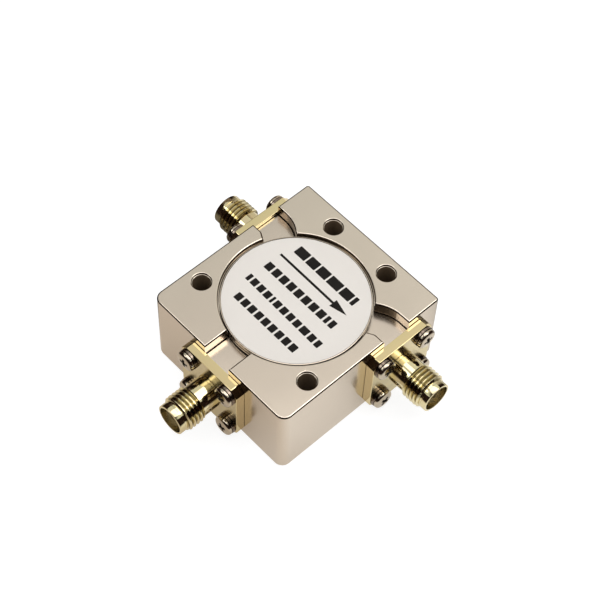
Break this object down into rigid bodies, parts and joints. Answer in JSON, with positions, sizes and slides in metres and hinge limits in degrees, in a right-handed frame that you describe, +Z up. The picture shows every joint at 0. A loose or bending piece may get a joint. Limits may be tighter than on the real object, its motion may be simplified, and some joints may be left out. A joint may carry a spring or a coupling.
{
  "type": "rf circulator",
  "caption": "Square metal radio-frequency circulator housing with a round labelled lid, open channels, mounting holes and threaded coaxial sockets on screwed square flanges.",
  "frame": {"origin": "middle of the housing's bottom face", "axes": "+Z up out of the lid, -X out of port 1, -Y out of port 2, +Y out of port 3"},
  "size_m": [0.0426, 0.0492, 0.015],
  "materials": {
    "housing_nickel": "nickel plate over machined metal, warm, semi-gloss",
    "lid_nickel": "nickel plate, turned, semi-gloss",
    "label_paper": "satin white label stock",
    "label_ink": "dark print on the label, scene only",
    "cover_nickel": "nickel plate, semi-gloss",
    "socket_gold": "gold plate, polished barrel and satin flange",
    "screw_nickel": "nickel-plated steel, polished",
    "insulator_white": "white fluoropolymer",
    "contact_gold": "gold plate, polished",
    "conductor_silver": "silver-plated strip",
    "magnet": "sintered magnet, ground",
    "pole_steel": "plain steel sheet",
    "ferrite": "microwave ferrite, lapped"
  },
  "bodies": {
    "root": {"housing": "housing_nickel", "lid": "lid_nickel", "label": "label_paper", "channel_cover_1": "cover_nickel", "channel_cover_2": "cover_nickel", "channel_cover_3": "cover_nickel", "socket_shell_1": "socket_gold", "socket_shell_2": "socket_gold", "socket_shell_3": "socket_gold", "flange_screw_1_1": "screw_nickel", "flange_screw_1_2": "screw_nickel", "flange_screw_1_3": "screw_nickel", "flange_screw_1_4": "screw_nickel", "flange_screw_2_1": "screw_nickel", "flange_screw_2_2": "screw_nickel", "flange_screw_2_3": "screw_nickel", "flange_screw_2_4": "screw_nickel", "flange_screw_3_1": "screw_nickel", "flange_screw_3_2": "screw_nickel", "flange_screw_3_3": "screw_nickel", "flange_screw_3_4": "screw_nickel", "socket_insulator_1": "insulator_white", "socket_insulator_2": "insulator_white", "socket_insulator_3": "insulator_white", "socket_contact_1": "contact_gold", "socket_contact_2": "contact_gold", "socket_contact_3": "contact_gold", "centre_conductor": "conductor_silver", "lower_magnet": "magnet", "lower_pole_piece": "pole_steel", "lower_ferrite": "ferrite", "lower_spacer_ring": "insulator_white", "upper_ferrite": "ferrite", "upper_spacer_ring": "insulator_white", "upper_pole_piece": "pole_steel", "upper_magnet": "magnet", "temperature_plate": "pole_steel"}
  },
  "joints": []
}
